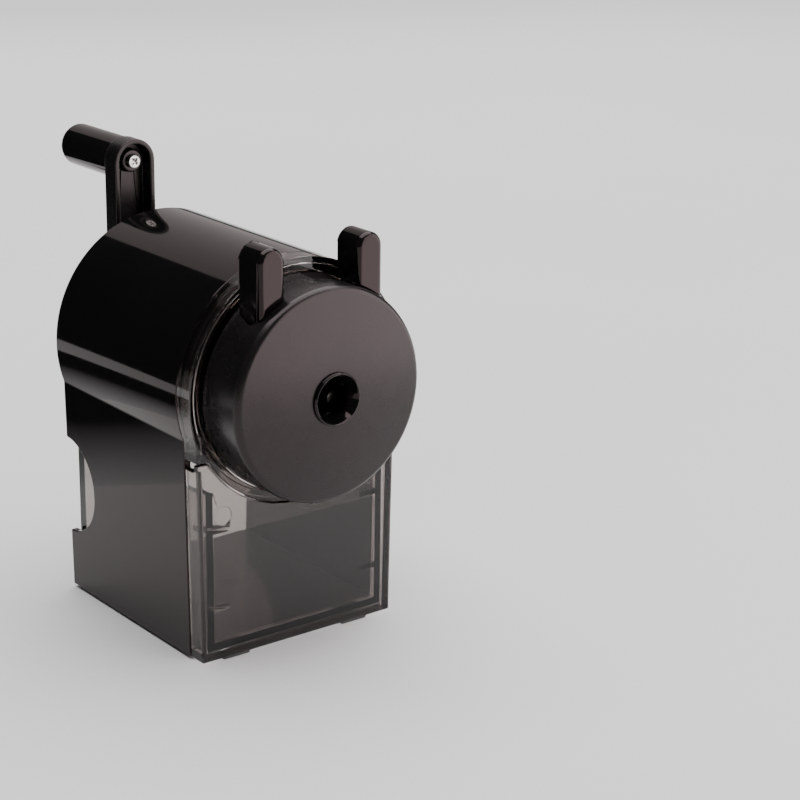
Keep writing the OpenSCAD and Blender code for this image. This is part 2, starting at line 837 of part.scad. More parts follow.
// Screws that hold the jaw plate in the cup; their heads are cut back where the cup's wall is close
module carriage_screws() {
    head_y = jaw_plate_y + plate_disc_t + seat_gap;
    shank_y = jaw_plate_y - boss_l + 0.5;
    color("#b8b8b8") in_frame() for (a = boss_angles) intersection() {
        on_ring(boss_ring_r, a) difference() {
            union() {
                bar(head_y, screw_head_t, screw_head_r);
                bar(shank_y, head_y - shank_y + eps, screw_r);
            }
            cross_recess(head_y + screw_head_t - recess_t, recess_t + eps, screw_r);
        }
        bar(shank_y - past, head_y - shank_y + screw_head_t + 2 * past, cup_in_r - seat_gap);
    }
}

// The coil that turns the cam ring back, as its envelope
module jaw_spring() {
    color("#9a9a9a") in_frame() axis_slab(cup_face_y + side_gap, jaw_spring_d) difference() {
        circle(r = jaw_spring_out_r);
        circle(r = jaw_spring_in_r);
    }
}

module rod(sx) {
    start = jaw_plate_y + rod_floor;
    color("#c4c4c4") in_frame() bar(start, rod_end_y - start, rod_r, sx * rod_x);
}

module rod_left() rod(-1);
module rod_right() rod(1);

module rod_stop(sx) {
    color("#8c8c88") in_frame() difference() {
        bar(stop_y, stop_t, stop_r, sx * rod_x);
        bar(stop_y - past, stop_t + 2 * past, rod_r + seat_gap, sx * rod_x);
    }
}

module rod_stop_left() rod_stop(-1);
module rod_stop_right() rod_stop(1);

// A compression spring around a guide rod, as its envelope
module rod_spring(sx) {
    start = bush_back + spring_seat;
    color("#9a9a9a") in_frame() difference() {
        bar(start, stop_y - spring_seat - start, rod_spring_r, sx * rod_x);
        bar(start - past, rod_l, rod_spring_in_r, sx * rod_x);
    }
}

module rod_spring_left() rod_spring(-1);
module rod_spring_right() rod_spring(1);

// Ring behind the cup's face that carries the moving ear and drives the jaws
module cam_ring() {
    color("#141414") in_frame() union() {
        axis_slab(cam_y, cam_t) difference() {
            circle(r = cam_ring_r);
            circle(r = cam_hub_r + run_gap);
        }
        around(drive_r, jaw_angles) bar(cam_y - jaw_t - side_gap, jaw_t + side_gap + pin_root, jaw_pin_r);
        ear_block(cup_r + side_gap);
        // leg from the ring out through the cup's notch to the ear
        axis_slab(cam_y, cam_t) difference() {
            translate([ear_x - leg_w / 2, 0]) square([leg_w, cup_r + past]);
            circle(r = cam_ring_r - past);
        }
    }
}

module jaw(a) {
    tip_r = jaw_w / 2;
    tail_w = 2 * (jaw_pin_r + slot_gap + jaw_cheek);
    color("#9c9c9c") in_frame() axis_slab(jaw_y, jaw_t) rotate(a) difference() {
        union() {
            translate([grip_r + tip_r, 0]) circle(r = tip_r);
            translate([grip_r + tip_r, -tip_r]) square([jaw_pivot_r - grip_r - tip_r, jaw_w]);
            translate([jaw_pivot_r, 0]) circle(r = jaw_pin_r + jaw_boss);
            translate([jaw_pivot_r, -tail_w / 2]) square([jaw_tail_l, tail_w]);
        }
        translate([jaw_pivot_r, 0]) circle(r = jaw_pin_r + run_gap);
        slot = jaw_pin_r + slot_gap;
        translate([drive_r - drive_slot_in, 0]) circle(r = slot);
        translate([drive_r - drive_slot_in, -slot]) square([jaw_tail_l, 2 * slot]);
    }
}

module jaw_a() jaw(jaw_angles[0]);
module jaw_b() jaw(jaw_angles[1]);
module jaw_c() jaw(jaw_angles[2]);

// ---- cutter head ----

// The leaning line of the cutter, with z along it and its origin at the height of y
module on_cutter(y) {
    translate([0, y, axis_h - cutter_offset(y)]) rotate([-90 + cone_angle, 0, 0]) children();
}

module carrier() {
    color("#8c8c88") in_frame() difference() {
        union() {
            bar(plate_back + side_gap, carrier_front_y - plate_back - side_gap + eps, nose_r);
            bar(carrier_front_y, carrier_disc_t, carrier_disc_r);
            bar(carrier_rear_y, carrier_rear_t, carrier_rear_r);
            axis_slab(carrier_front_y + eps, carrier_rear_y - carrier_front_y) rotate(90) intersection() {
                difference() {
                    circle(r = web_out_r);
                    circle(r = web_in_r);
                }
                pie(2 * web_out_r, -web_half_angle, web_half_angle);
            }
        }
        bar(plate_back, carrier_front_y - plate_back + carrier_disc_t + past, nose_bore_r);
        bar(shaft_start_y, shaft_socket, shaft_seat_r + seat_gap);
        on_cutter(gear_y) translate([0, 0, -axle_reach]) cylinder(h = 2 * axle_reach, r = axle_r + seat_gap);
    }
}

module cutter_axle() {
    color("#c4c4c4") in_frame() intersection() {
        on_cutter(gear_y) translate([0, 0, -axle_reach]) cylinder(h = 2 * axle_reach, r = axle_r);
        bar(carrier_front_y + side_gap, carrier_back_y - carrier_front_y - 2 * side_gap,
            drum_r);
    }
}

module cutter() {
    land = 0.55;
    flute_depth = 0.9;
    pitch = 360 / flutes;
    len = (cutter_end_y - cutter_start_y) / cos(cone_angle);
    color("#a8a8a4") in_frame() on_cutter(cutter_start_y) difference() {
        linear_extrude(len) polygon([for (i = [0:flutes - 1], k = [0:2]) let (
            r = k == 1 ? cutter_r - flute_depth : cutter_r,
            a = pitch * (i + [0, 0.25, 1 - land][k]))
            [r * cos(a), r * sin(a)]]);
        translate([0, 0, -past]) cylinder(h = len + 2 * past, r = axle_r + run_gap);
    }
}

module pinion() {
    color("#8c8c88") in_frame() on_cutter(gear_y) translate([0, 0, -pinion_w / 2]) difference() {
        linear_extrude(pinion_w) union() {
            circle(r = pinion_pitch_r - dedendum);
            // a tooth points straight down at the ring gear
            rotate(90) teeth(pinion_teeth, pinion_pitch_r - dedendum - tooth_sink, pinion_pitch_r + addendum,
                tooth_half * tooth_root, tooth_half * tooth_tip);
        }
        translate([0, 0, -past]) cylinder(h = pinion_w + 2 * past, r = axle_r + run_gap);
    }
}

// ---- crank ----

module crank_shaft() {
    color("#c4c4c4") in_frame() difference() {
        union() {
            bar(shaft_start_y + seat_gap, shaft_socket, shaft_seat_r);
            bar(carrier_back_y + side_gap, shaft_end_y - carrier_back_y - side_gap - seat_gap, shaft_r);
        }
        bar(shaft_end_y - crank_screw_l, 2 * crank_screw_l, crank_screw_r + seat_gap);
    }
}

// Front outline of the crank arm, from the axis up to the knob
module arm_outline(inset = 0) {
    r = arm_w / 2 - inset;
    circle(r = hub_r - inset);
    translate([-r, 0]) square([2 * r, crank_throw]);
    translate([0, crank_throw]) circle(r = r);
}

module crank_arm() {
    hub_front_y = y_cap + shaft_bush_proud + side_gap;
    color("#1c1c1c") in_frame() difference() {
        union() {
            difference() {
                axis_slab(y_arm, arm_t) arm_outline();
                axis_slab(y_arm - past, arm_t - arm_web + past) difference() {
                    arm_outline(arm_rim);
                    circle(r = hub_r + hub_step);
                }
            }
            bar(hub_front_y, y_arm + past - hub_front_y, hub_r - hub_step);
            bar(spindle_boss_y, spindle_boss_d, spindle_boss_r, 0, crank_throw);
        }
        bar(y_cap, shaft_end_y - y_cap, shaft_r + seat_gap);
        bar(y_cap, arm_t + arm_gap + past, crank_screw_r + seat_gap);
        bar(y_arm - past, arm_t + 2 * past, spindle_r + seat_gap, 0, crank_throw);
    }
}

module crank_screw() {
    head_y = y_arm_back + seat_gap;
    tip_y = shaft_end_y - crank_screw_l + side_gap;
    color("#b8b8b8") in_frame() difference() {
        union() {
            bar(head_y, crank_screw_head_t, crank_screw_head_r);
            bar(tip_y, head_y - tip_y + eps, crank_screw_r);
        }
        cross_recess(head_y + crank_screw_head_t - recess_t, recess_t + eps, crank_recess_r);
    }
}

// Cross-head screw whose shank is the knob's axle
module knob_spindle() {
    head_y = spindle_boss_y - seat_gap - spindle_head_t;
    color("#dedede") in_frame() translate([0, 0, crank_throw]) difference() {
        union() {
            bar(head_y, spindle_head_t, spindle_head_r);
            bar(spindle_boss_y - seat_gap - eps, nut_y + nut_t - spindle_boss_y, spindle_r);
        }
        cross_recess(head_y - eps, recess_t, spindle_recess_r);
    }
}

module spindle_nut() {
    color("#8c8c88") in_frame() difference() {
        bar(nut_y + run_gap, nut_t, nut_r, 0, crank_throw);
        bar(nut_y - past, nut_t + 2 * past, spindle_r + seat_gap, 0, crank_throw);
    }
}

module knob() {
    color("#0c0c0c") in_frame() translate([0, 0, crank_throw]) turned() difference() {
        union() {
            translate([0, y_knob]) square([knob_r, knob_l - knob_round]);
            translate([0, y_knob]) square([knob_r - knob_round, knob_l]);
            translate([knob_r - knob_round, y_end - knob_round]) circle(r = knob_round);
        }
        translate([-past, y_knob - past]) square([spindle_r + run_gap + past, knob_l]);
        translate([-past, nut_y - side_gap]) square([nut_r + side_gap + past, knob_l]);
        translate([-past, y_end - cap_plug_t - seat_gap]) square([cap_plug_r + seat_gap + past, knob_l]);
    }
}

module knob_cap() {
    color("#0c0c0c") in_frame() bar(y_end - cap_plug_t, cap_plug_t, cap_plug_r, 0, crank_throw);
}

casing();
base_plate();
foot_front_left();
foot_front_right();
foot_rear_left();
foot_rear_right();
bezel();
tray();
guide_plate();
plate_screws();
rod_bush_left();
rod_bush_right();
rear_cap();
ring_gear();
shaft_bush();
cup();
entry_bush();
fixed_ear();
jaw_plate();
jaw_pivots();
carriage_screws();
jaw_spring();
rod_left();
rod_right();
rod_stop_left();
rod_stop_right();
rod_spring_left();
rod_spring_right();
cam_ring();
jaw_a();
jaw_b();
jaw_c();
carrier();
cutter_axle();
cutter();
pinion();
crank_shaft();
crank_arm();
crank_screw();
knob_spindle();
spindle_nut();
knob();
knob_cap();
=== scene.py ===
import json
import math
import bmesh
import bpy
from mathutils import Matrix, Vector

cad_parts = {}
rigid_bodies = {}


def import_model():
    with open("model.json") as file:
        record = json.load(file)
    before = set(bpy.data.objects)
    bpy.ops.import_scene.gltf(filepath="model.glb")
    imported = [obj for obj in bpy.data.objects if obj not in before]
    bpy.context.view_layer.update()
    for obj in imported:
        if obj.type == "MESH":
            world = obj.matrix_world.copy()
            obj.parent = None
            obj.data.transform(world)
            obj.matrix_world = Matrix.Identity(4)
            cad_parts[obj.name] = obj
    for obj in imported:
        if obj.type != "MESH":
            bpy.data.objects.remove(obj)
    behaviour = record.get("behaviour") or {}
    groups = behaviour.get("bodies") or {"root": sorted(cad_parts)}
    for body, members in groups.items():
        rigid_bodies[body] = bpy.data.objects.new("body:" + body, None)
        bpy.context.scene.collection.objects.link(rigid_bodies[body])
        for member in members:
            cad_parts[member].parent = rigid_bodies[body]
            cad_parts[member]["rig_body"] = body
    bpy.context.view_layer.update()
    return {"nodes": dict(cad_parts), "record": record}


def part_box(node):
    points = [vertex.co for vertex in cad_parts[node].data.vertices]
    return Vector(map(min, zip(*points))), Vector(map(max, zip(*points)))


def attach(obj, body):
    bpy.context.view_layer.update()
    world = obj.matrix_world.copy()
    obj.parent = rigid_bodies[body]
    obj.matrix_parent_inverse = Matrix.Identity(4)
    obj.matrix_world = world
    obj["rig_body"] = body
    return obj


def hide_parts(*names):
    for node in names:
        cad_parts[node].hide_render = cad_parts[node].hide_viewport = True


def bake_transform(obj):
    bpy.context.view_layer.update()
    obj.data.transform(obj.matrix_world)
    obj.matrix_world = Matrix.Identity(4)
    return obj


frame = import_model()

MM = 0.001
# The front plane of the bezel, which the part's depths are measured from
FRONT_Y = -45.5 * MM
# The foot of the casing, and the axis of the crank
CASING_FOOT_Z = 0.8 * MM
AXIS_Z = 70.5 * MM


def depth(y):
    """Metres along Y for a depth in millimetres behind the bezel's front plane."""
    return FRONT_Y + y * MM


# ---- camera ----

# The camera looks at AIM from this direction and distance, and is then moved across its own view
LENS_MM = 95.885
CAM_AZIMUTH = math.radians(-38.210)
CAM_PITCH = math.radians(18.137)
CAM_ROLL = math.radians(0.846)
CAM_DISTANCE = 558.380 * MM
CAM_RIGHT = 41.066 * MM
CAM_UP = -1.431 * MM
AIM = Vector((0, depth(25), CASING_FOOT_Z + 60 * MM))


def camera():
    back = Vector((math.sin(CAM_AZIMUTH) * math.cos(CAM_PITCH),
                   -math.cos(CAM_AZIMUTH) * math.cos(CAM_PITCH),
                   math.sin(CAM_PITCH)))
    ahead = -back
    level = ahead.cross(Vector((0, 0, 1))).normalized()
    upright = level.cross(ahead)
    right = math.cos(CAM_ROLL) * level + math.sin(CAM_ROLL) * upright
    up = -math.sin(CAM_ROLL) * level + math.cos(CAM_ROLL) * upright
    data = bpy.data.cameras.new("camera")
    data.lens = LENS_MM
    data.clip_start = 0.01
    data.clip_end = 20
    cam = bpy.data.objects.new("camera", data)
    bpy.context.scene.collection.objects.link(cam)
    turn = Matrix((right, up, back)).transposed().to_4x4()
    turn.translation = AIM - ahead * CAM_DISTANCE + right * CAM_RIGHT + up * CAM_UP
    cam.matrix_world = turn
    bpy.context.scene.camera = cam


camera()


# ---- materials ----

# Most of a noise lies between these values
NOISE_LOW, NOISE_HIGH = 0.3, 0.7


class Graph:
    """A new material with its Principled shader, and short ways to add and join nodes."""

    def __init__(self, name):
        self.mat = bpy.data.materials.new(name)
        self.mat.use_nodes = True
        self.tree = self.mat.node_tree
        self.shader = self.tree.nodes["Principled BSDF"]
        self.coords = self.add("ShaderNodeTexCoord").outputs["Object"]

    def add(self, kind, **props):
        node = self.tree.nodes.new(kind)
        for key, value in props.items():
            setattr(node, key, value)
        return node

    def link(self, a, b):
        self.tree.links.new(a, b)

    def feed(self, socket, value):
        """Joins a value to one of the shader's own sockets."""
        self.link(value, self.shader.inputs[socket])

    def set(self, **values):
        for key, value in values.items():
            self.shader.inputs[key.replace("_", " ")].default_value = value

    def stretched(self, scale):
        node = self.add("ShaderNodeMapping")
        node.inputs["Scale"].default_value = scale
        self.link(self.coords, node.inputs["Vector"])
        return node.outputs["Vector"]

    def noise(self, per_mm, detail=3.0, rough=0.5, where=None):
        node = self.add("ShaderNodeTexNoise")
        node.inputs["Scale"].default_value = per_mm / MM
        node.inputs["Detail"].default_value = detail
        node.inputs["Roughness"].default_value = rough
        self.link(where or self.coords, node.inputs["Vector"])
        return node.outputs["Fac"]

    def ramp(self, value, *stops):
        """Each stop is a value and its colour."""
        node = self.add("ShaderNodeValToRGB")
        for point, (at, colour) in zip(node.color_ramp.elements, stops):
            point.position = at
            point.color = (*colour, 1)
        self.link(value, node.inputs["Fac"])
        return node.outputs["Color"]

    def mottled(self, value, dark, light):
        return self.ramp(value, (NOISE_LOW, dark), (NOISE_HIGH, light))

    def spread(self, value, low, high):
        """Stretches a noise to the range from low to high."""
        node = self.add("ShaderNodeMapRange")
        node.inputs["From Min"].default_value = NOISE_LOW
        node.inputs["From Max"].default_value = NOISE_HIGH
        node.inputs["To Min"].default_value = low
        node.inputs["To Max"].default_value = high
        self.link(value, node.inputs["Value"])
        return node.outputs["Result"]

    def math(self, kind, a, b):
        node = self.add("ShaderNodeMath", operation=kind)
        for socket, value in zip(node.inputs, (a, b)):
            if isinstance(value, (int, float)):
                socket.default_value = value
            else:
                self.link(value, socket)
        return node.outputs[0]

    def bump(self, *layers):
        """Each layer is a height and how deep it is, in millimetres."""
        normal = None
        for height, deep in layers:
            node = self.add("ShaderNodeBump")
            node.inputs["Strength"].default_value = 1.0
            node.inputs["Distance"].default_value = deep * MM
            self.link(height, node.inputs["Height"])
            if normal:
                self.link(normal, node.inputs["Normal"])
            normal = node.outputs["Normal"]
        self.feed("Normal", normal)


def scratches(g, amount):
    """Fine rub marks in two directions, as a value from 0 to amount."""
    fine = g.noise(0.05, 4, 0.7, g.stretched((1, 26, 3)))
    across = g.noise(0.04, 4, 0.7, g.stretched((22, 2, 1)))
    lines = g.math("MAXIMUM", fine, across)
    return g.math("MULTIPLY", g.ramp(lines, (0.62, (0, 0, 0)), (0.72, (1, 1, 1))), amount)


def gloss_black():
    g = Graph("gloss_black")
    g.feed("Base Color", g.mottled(g.noise(0.03, 3), (0.0035, 0.0033, 0.0034), (0.0048, 0.0044, 0.0045)))
    g.feed("Roughness", g.math("ADD", g.spread(g.noise(0.22, 4), 0.045, 0.085), scratches(g, 0.05)))
    g.bump((g.noise(0.03, 0), 0.004), (g.noise(1.6, 2), 0.0002))
    g.set(IOR=1.39, Specular_Tint=(1.0, 0.76, 0.78, 1))
    return g.mat


def textured_black(name, dark, light, rough, grain_mm, deep_mm):
    """Moulded plastic with a spark-eroded grain, and a sheen that varies a little."""
    g = Graph(name)
    sheen = 0.04
    g.feed("Base Color", g.mottled(g.noise(0.05, 3), dark, light))
    g.feed("Roughness", g.spread(g.noise(0.18, 4), rough - sheen, rough + sheen))
    g.bump((g.noise(1 / grain_mm, 3, 0.6), deep_mm))
    g.set(IOR=1.43, Specular_Tint=(1.0, 0.85, 0.87, 1))
    return g.mat


def smoky_clear():
    """Clear plastic whose smoke is in its depth, so thick places are darker."""
    g = Graph("smoky_clear")
    g.feed("Base Color", g.mottled(g.noise(0.02, 2), (0.975, 0.972, 0.970), (0.995, 0.994, 0.993)))
    g.feed("Roughness", g.math("ADD", g.spread(g.noise(0.2, 3), 0.010, 0.025), scratches(g, 0.04)))
    g.bump((g.noise(0.03, 0), 0.003))
    g.set(Transmission_Weight=1.0, IOR=1.45)
    smoke = g.add("ShaderNodeVolumeAbsorption")
    smoke.inputs["Color"].default_value = (0.34, 0.27, 0.24, 1)
    smoke.inputs["Density"].default_value = 430.0
    g.link(smoke.outputs["Volume"], g.tree.nodes["Material Output"].inputs["Volume"])
    return g.mat


def metal(name, dark, light, rough, along=None, cast=0.0):
    """Bare metal: lines along one direction where it is drawn or ground, or the grain of a casting."""
    g = Graph(name)
    where = g.stretched(along) if along else None
    grain = g.noise(0.35, 5, 0.65, where)
    g.feed("Base Color", g.mottled(grain, dark, light))
    g.feed("Roughness", g.spread(grain, rough - 0.06, rough + 0.08))
    g.bump((g.noise(1.2, 3, 0.6, where), 0.0012 + cast))
    g.set(Metallic=1.0)
    return g.mat


def rubber():
    g = Graph("rubber")
    g.feed("Base Color", g.mottled(g.noise(0.3, 4), (0.012, 0.012, 0.012), (0.022, 0.021, 0.021)))
    g.feed("Roughness", g.spread(g.noise(0.5, 3), 0.62, 0.82))
    g.bump((g.noise(2.2, 3), 0.01))
    return g.mat


MATERIALS = {
    "gloss_black": gloss_black(),
    "matte_black": textured_black("matte_black", (0.0050, 0.0046, 0.0046), (0.0070, 0.0065, 0.0065),
                                  rough=0.28, grain_mm=0.30, deep_mm=0.003),
    "satin_black": textured_black("satin_black", (0.010, 0.0095, 0.0095), (0.015, 0.014, 0.014),
                                  rough=0.48, grain_mm=0.4, deep_mm=0.006),
    "smoky_clear": smoky_clear(),
    "steel": metal("steel", (0.50, 0.49, 0.48), (0.64, 0.63, 0.62), 0.24, along=(1, 0.06, 1)),
    "cutter_steel": metal("cutter_steel", (0.34, 0.34, 0.35), (0.50, 0.50, 0.51), 0.30, along=(1, 0.1, 1)),
    "cast_metal": metal("cast_metal", (0.24, 0.235, 0.23), (0.34, 0.335, 0.33), 0.42, cast=0.006),
    "brass": metal("brass", (0.55, 0.36, 0.15), (0.72, 0.50, 0.23), 0.28, along=(1, 0.08, 1)),
    "rubber": rubber(),
}


# ---- pieces ----

NODE_SLOT = {row["node"]: row["material_slot"] for row in frame["record"]["subparts"]}


def add_object(name, mesh, body, slot, *replaced):
    """A visible piece; a piece without a body is attached to none."""
    obj = bpy.data.objects.new(name, mesh)
    bpy.context.scene.collection.objects.link(obj)
    mesh.materials.clear()
    mesh.materials.append(MATERIALS[slot])
    if body:
        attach(obj, body)
    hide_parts(*replaced)
    return obj


# Points this close are one point, and faces this level with each other are one face
MERGE = 0.002 * MM
LEVEL_ANGLE = math.radians(0.4)
# Edges sharper than this are rounded. The casing's box meets its drum at a flatter edge
SHARP_ANGLE = math.radians(32)
CASING_SHARP_ANGLE = math.radians(15)
# The share of a narrow face that the rounding of one of its edges may take
ROOM_SHARE = 0.42
# How wide each node's edges are rounded, in millimetres, and in how many segments
WIDTHS = {
    "casing": (0.35, 3), "bezel": (0.3, 3), "tray": (0.3, 3), "crank_arm": (0.35, 3), "rear_cap": (0.3, 2),
    "fixed_ear": (0.4, 3), "cam_ring": (0.3, 3), "cup": (0.25, 2), "entry_bush": (0.15, 2),
    "knob": (0.15, 2), "knob_cap": (0.12, 2), "base_plate": (0.3, 2), "guide_plate": (0.2, 2),
    "jaw_plate": (0.2, 2), "plate_screws": (0.1, 1), "rod_bush_left": (0.1, 2), "rod_bush_right": (0.1, 2),
    "shaft_bush": (0.15, 2), "ring_gear": (0.08, 1), "pinion": (0.08, 1), "carrier": (0.25, 2),
    "jaw_a": (0.2, 2), "jaw_b": (0.2, 2), "jaw_c": (0.2, 2), "jaw_pivots": (0.1, 2),
    "carriage_screws": (0.1, 1), "rod_left": (0.2, 2), "rod_right": (0.2, 2), "rod_stop_left": (0.2, 2),
    "rod_stop_right": (0.2, 2), "cutter_axle": (0.15, 2), "crank_shaft": (0.2, 2),
    "crank_screw": (0.15, 2), "knob_spindle": (0.12, 2), "spindle_nut": (0.12, 2),
    "foot_front_left": (0.3, 2), "foot_front_right": (0.3, 2), "foot_rear_left": (0.3, 2),
    "foot_rear_right": (0.3, 2),
}


def finished(node, width, segments, sharp):
    """The node's shape with its sharp edges rounded, as a moulded or turned piece has them."""
    src = frame["nodes"][node]
    bm = bmesh.new()
    bm.from_mesh(src.data)
    bmesh.ops.remove_doubles(bm, verts=bm.verts, dist=MERGE)
    bmesh.ops.dissolve_limit(bm, angle_limit=LEVEL_ANGLE, verts=bm.verts, edges=bm.edges)
    bmesh.ops.dissolve_degenerate(bm, edges=bm.edges, dist=MERGE)
    weight = bm.edges.layers.float.new("bevel_weight_edge")
    for edge in bm.edges:
        if len(edge.link_faces) != 2 or edge.calc_face_angle() < sharp:
            continue
        start = edge.verts[0].co
        along = (edge.verts[1].co - start).normalized()
        room = min(max((v.co - start).cross(along).length for v in face.verts) for face in edge.link_faces)
        edge[weight] = min(1.0, ROOM_SHARE * room / width)
    # a bevel folds a face that has many corners, so those are cut into triangles first
    bmesh.ops.triangulate(bm, faces=[face for face in bm.faces if len(face.verts) > 4])
    for face in bm.faces:
        face.smooth = True
    mesh = bpy.data.meshes.new(node + "_piece")
    bm.to_mesh(mesh)
    bm.free()
    obj = add_object(node + "_piece", mesh, src["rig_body"], NODE_SLOT[node], node)
    mod = obj.modifiers.new("edges", "BEVEL")
    mod.width = width
    mod.segments = segments
    mod.limit_method = "WEIGHT"
    mod.use_clamp_overlap = False
    mod.miter_outer = "MITER_ARC"
    shading = obj.modifiers.new("shading", "WEIGHTED_NORMAL")
    shading.mode = "FACE_AREA"
    shading.weight = 100
    return obj


for node, (width_mm, segments) in WIDTHS.items():
    piece = finished(node, width_mm * MM, segments, CASING_SHARP_ANGLE if node == "casing" else SHARP_ANGLE)
    # light passes the clear pieces, so what is inside them is lit
    piece.visible_shadow = NODE_SLOT[node] != "smoky_clear"


# ---- springs ----

WIRE_SIDES = 10
# Nearly along Y, but never parallel to a wire, so that the wire's own directions can be worked out
WIRE_REFERENCE = Vector((0, 1, 0.02))


def tube(name, path, radius, body, slot, *replaced):
    """A round wire along a list of points."""
    bm = bmesh.new()
    rings = []
    for i, point in enumerate(path):
        ahead = (path[min(i + 1, len(path) - 1)] - path[max(i - 1, 0)]).normalized()
        side = ahead.cross(WIRE_REFERENCE).normalized()
        over = side.cross(ahead)
        rings.append([bm.verts.new(point + radius * (math.cos(t) * side + math.sin(t) * over))
                      for t in (2 * math.pi * k / WIRE_SIDES for k in range(WIRE_SIDES))])
    for one, two in zip(rings, rings[1:]):
        for k in range(WIRE_SIDES):
            n = (k + 1) % WIRE_SIDES
            bm.faces.new((one[k], one[n], two[n], two[k]))
    bm.faces.new(reversed(rings[0]))
    bm.faces.new(rings[-1])
    bmesh.ops.recalc_face_normals(bm, faces=bm.faces)
    for face in bm.faces:
        face.smooth = len(face.verts) == 4
    mesh = bpy.data.meshes.new(name)
    bm.to_mesh(mesh)
    bm.free()
    return add_object(name, mesh, body, slot, *replaced)


ROD_WIRE_R = 0.34 * MM
ROD_TURNS = 9
ROD_CLOSED_TURNS = 1
ROD_CLOSED_PITCH = 0.75 * MM
ROD_STEPS = 28


def coil(centre, radius, length):
    """Points of a rod spring along +Y, whose first and last turns lie close together."""
    count = ROD_TURNS * ROD_STEPS
    open_turns = ROD_TURNS - 2 * ROD_CLOSED_TURNS
    ends = 2 * ROD_CLOSED_TURNS * ROD_CLOSED_PITCH
    points = []
    for i in range(count + 1):
        t = ROD_TURNS * i / count
        low = min(t, ROD_CLOSED_TURNS)
        middle = min(max(t - ROD_CLOSED_TURNS, 0), open_turns)
        high = max(t - ROD_CLOSED_TURNS - open_turns, 0)
        y = (low + high) * ROD_CLOSED_PITCH + middle * (length - ends) / open_turns
        a = 2 * math.pi * t
        points.append(centre + Vector((radius * math.cos(a), y, radius * math.sin(a))))
    return points


def rod_spring(node):
    low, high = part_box(node)
    centre = Vector(((low.x + high.x) / 2, low.y + ROD_WIRE_R, (low.z + high.z) / 2))
    path = coil(centre, (high.x - low.x) / 2 - ROD_WIRE_R, high.y - low.y - 2 * ROD_WIRE_R)
    piece = tube(node + "_coil", path, ROD_WIRE_R, None, "steel", node)
    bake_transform(piece)


JAW_WIRE_R = 0.3 * MM
# From the outside of the jaw spring's box to the middle of its wire
JAW_WIRE_INSET = 0.7 * MM
JAW_TURNS = 2
JAW_STEPS = 84


def jaw_spring():
    low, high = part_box("jaw_spring")
    centre = Vector(((low.x + high.x) / 2, low.y + JAW_WIRE_R, (low.z + high.z) / 2))
    radius = (high.x - low.x) / 2 - JAW_WIRE_INSET
    rise = high.y - low.y - 2 * JAW_WIRE_R
    count = JAW_TURNS * JAW_STEPS
    path = []
    for k in range(count + 1):
        a = 2 * math.pi * k / JAW_STEPS
        path.append(centre + Vector((radius * math.cos(a), rise * k / count, radius * math.sin(a))))
    tube("jaw_spring_coil", path, JAW_WIRE_R, "carriage", "steel", "jaw_spring")


rod_spring("rod_spring_left")
rod_spring("rod_spring_right")
jaw_spring()


# ---- cutter ----

def cutter():
    """The milling cutter with its helical flutes, about its own leaning axis."""
    flutes, twist, rows = 16, math.radians(55), 30
    outer_r, bore_r = 6 * MM, 1.56 * MM
    start_y, end_y = 23.5, 48.5
    # the cutter's axis lies this far below the crank's at the gears, and further below in front of them
    gear_y, gear_drop = 48, 6.4248 * MM
    cone = math.radians(9)
    length = (end_y - start_y) * MM / math.cos(cone)
    # radius at shares of one flute's pitch: land, face, floor and back
    profile = ((0.0, 1.0), (0.10, 0.992), (0.16, 0.90), (0.24, 0.855), (0.36, 0.865), (0.55, 0.92), (0.78, 0.97))
    drop = gear_drop + (gear_y - start_y) * MM * math.tan(cone)
    start = Vector((0, depth(start_y), AXIS_Z - drop))
    along = Vector((0, math.cos(cone), math.sin(cone)))
    across = Vector((1, 0, 0))
    up = across.cross(along)
    bm = bmesh.new()
    outer, inner = [], []
    for i in range(rows + 1):
        t = i / rows
        origin = start + along * length * t
        ring, hole = [], []
        for f in range(flutes):
            for share, r in profile:
                a = 2 * math.pi * (f + share) / flutes + twist * t
                way = math.cos(a) * across + math.sin(a) * up
                ring.append(bm.verts.new(origin + way * outer_r * r))
                hole.append(bm.verts.new(origin + way * bore_r))
        outer.append(ring)
        inner.append(hole)
    count = len(outer[0])
    for i in range(rows):
        for k in range(count):
            n = (k + 1) % count
            bm.faces.new((outer[i][k], outer[i][n], outer[i + 1][n], outer[i + 1][k]))
            bm.faces.new((inner[i][n], inner[i][k], inner[i + 1][k], inner[i + 1][n]))
    for k in range(count):
        n = (k + 1) % count
        bm.faces.new((outer[0][n], outer[0][k], inner[0][k], inner[0][n]))
        bm.faces.new((outer[rows][k], outer[rows][n], inner[rows][n], inner[rows][k]))
    bmesh.ops.recalc_face_normals(bm, faces=bm.faces)
    mesh = bpy.data.meshes.new("cutter_fluted")
    bm.to_mesh(mesh)
    bm.free()
    return add_object("cutter_fluted", mesh, "cutter_head", "cutter_steel", "cutter")


cutter()


# ---- stage ----

FLOOR_HALF = 6
# The point that the lights face
MID = Vector((0, 0, 0.06))


def stage_mesh(name, corners, material):
    mesh = bpy.data.meshes.new(name)
    mesh.from_pydata([Vector(c) for c in corners], [], [tuple(range(len(corners)))])
    obj = bpy.data.objects.new(name, mesh)
    bpy.context.scene.collection.objects.link(obj)
    mesh.materials.append(material)
    return obj


def floor_material():
    g = Graph("floor_card")
    g.feed("Base Color", g.mottled(g.noise(0.004, 3), (0.80, 0.795, 0.79), (0.83, 0.825, 0.82)))
    g.set(Roughness=0.75)
    g.bump((g.noise(0.9, 3), 0.01))
    return g.mat


def glow(name, strength, colour=(1, 1, 1)):
    """A material's graph that gives off light and reflects none."""
    g = Graph(name)
    g.set(Base_Color=(0, 0, 0, 1), Emission_Color=(*colour, 1), Emission_Strength=strength, Roughness=1.0,
          Specular_IOR_Level=0.0)
    return g


